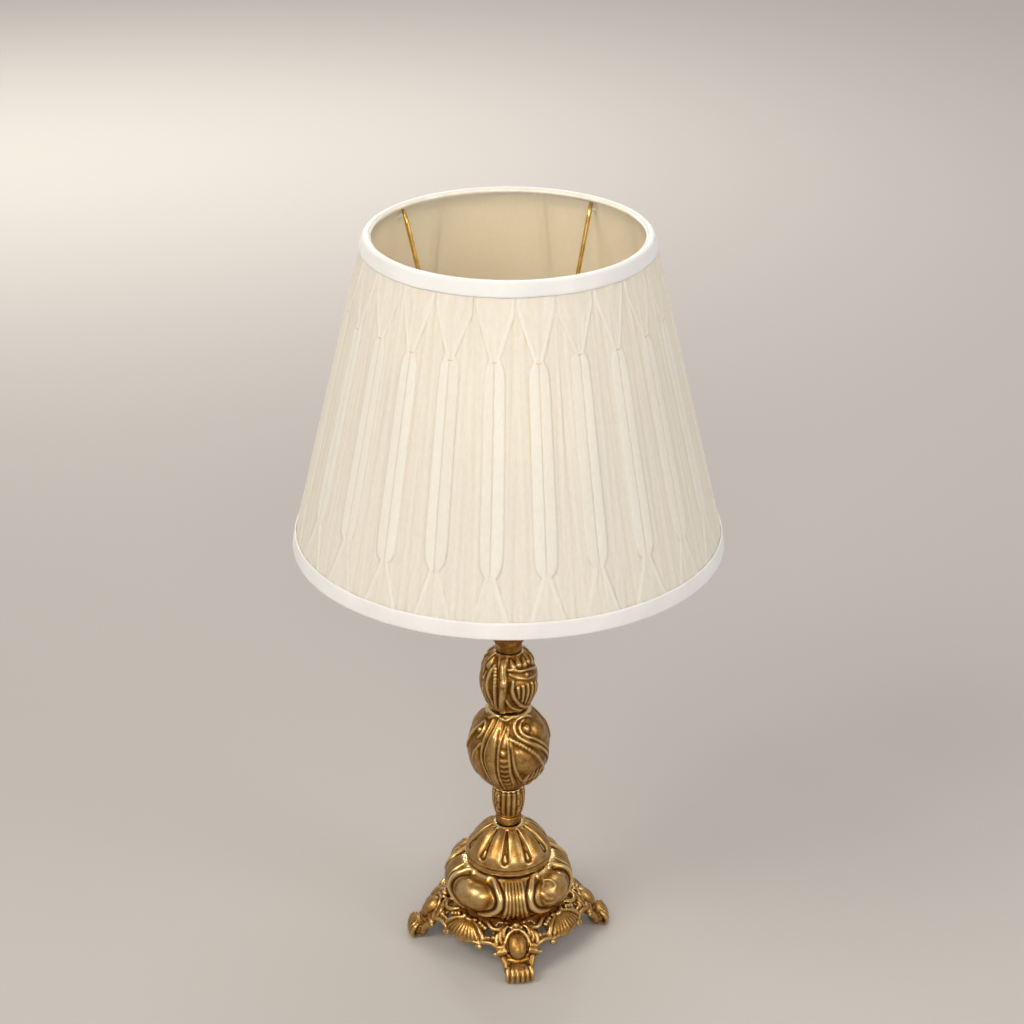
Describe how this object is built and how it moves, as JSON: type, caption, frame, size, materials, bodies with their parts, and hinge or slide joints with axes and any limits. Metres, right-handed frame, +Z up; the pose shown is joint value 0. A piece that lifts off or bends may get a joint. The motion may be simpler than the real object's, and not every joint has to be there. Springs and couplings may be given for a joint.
{
  "type": "table lamp",
  "caption": "Table lamp with a rococo cast stand on paw feet, a screw lampholder, a bulb and a pleated empire shade on a wire carrier.",
  "frame": {"origin": "on the lamp's axis, in the plane its feet stand on", "axes": "+Z up the stem to the shade; the feet lie on the X and Y axes; the switch key is on +X"},
  "size_m": [0.3, 0.3, 0.5476],
  "materials": {
    "antique_brass": "cast, antiqued and waxed",
    "bright_brass": "polished and lacquered",
    "steel": "zinc plated",
    "nickel": "nickel plated",
    "ceramic": "glazed steatite",
    "black_plastic": "moulded",
    "opal_glass": "opal coated inside",
    "painted_wire": "white paint",
    "pleated_cloth": "pleated linen blend",
    "liner_cloth": "plain lining",
    "trim_tape": "folded bias tape"
  },
  "bodies": {
    "stand": {"foot_casting": "antique_brass", "drum_casting": "antique_brass", "dome_casting": "antique_brass", "collar_ring": "antique_brass", "stem_casting": "antique_brass", "ball_casting": "antique_brass", "vase_casting": "antique_brass", "drip_cup": "antique_brass", "sleeve_tube": "antique_brass", "threaded_tube": "steel", "clamp_plate": "steel", "base_nut": "bright_brass", "holder_nut": "bright_brass", "lower_bush": "black_plastic", "upper_bush": "black_plastic", "holder_cap": "bright_brass", "holder_barrel": "bright_brass", "holder_insert": "ceramic", "screw_shell": "bright_brass", "centre_contact": "bright_brass", "terminal_screw_0": "bright_brass", "terminal_screw_1": "bright_brass", "terminal_screw_2": "bright_brass"},
    "switch": {"switch_spindle": "bright_brass", "switch_key": "bright_brass"},
    "clamp_ring": {"clamp_ring": "bright_brass"},
    "shade": {"shade_hub": "bright_brass", "shade_top_ring": "painted_wire", "shade_bottom_ring": "painted_wire", "shade_rib_0": "painted_wire", "shade_rib_1": "painted_wire", "shade_rib_2": "painted_wire", "shade_rib_3": "painted_wire", "shade_rib_4": "painted_wire", "shade_rib_5": "painted_wire", "shade_rib_6": "painted_wire", "shade_rib_7": "painted_wire", "shade_arm_0": "bright_brass", "shade_arm_1": "bright_brass", "shade_arm_2": "bright_brass", "shade_arm_3": "bright_brass", "shade_cover": "pleated_cloth", "shade_liner": "liner_cloth", "top_trim": "trim_tape", "bottom_trim": "trim_tape"},
    "bulb_lead": {"bulb_contact": "nickel"},
    "bulb": {"bulb_insulator": "black_plastic", "bulb_cap": "nickel", "bulb_glass": "opal_glass"}
  },
  "joints": [
    {"name": "shade_turn", "type": "hinge", "parent": "stand", "child": "shade", "pos_m": [0, 0, 0.3316], "axis": [0, 0, 1], "continuous": true},
    {"name": "clamp_ring_rise", "type": "slide", "parent": "stand", "child": "clamp_ring", "axis": [0, 0, 1], "range_m": [0, 0.014]},
    {"name": "bulb_rise", "type": "slide", "parent": "stand", "child": "bulb_lead", "axis": [0, 0, 1], "range_m": [0, 0.0145]},
    {"name": "bulb_turn", "type": "hinge", "parent": "bulb_lead", "child": "bulb", "pos_m": [0, 0, 0.322], "axis": [0, 0, 1], "range_deg": [0, 1440]},
    {"name": "switch_turn", "type": "hinge", "parent": "stand", "child": "switch", "pos_m": [0.0125, 0, 0.3035], "axis": [1, 0, 0], "range_deg": [0, 90]}
  ],
  "couplings": [
    {"joint": "bulb_turn", "follows": "bulb_rise", "rad_per_m": 1730.9}
  ]
}
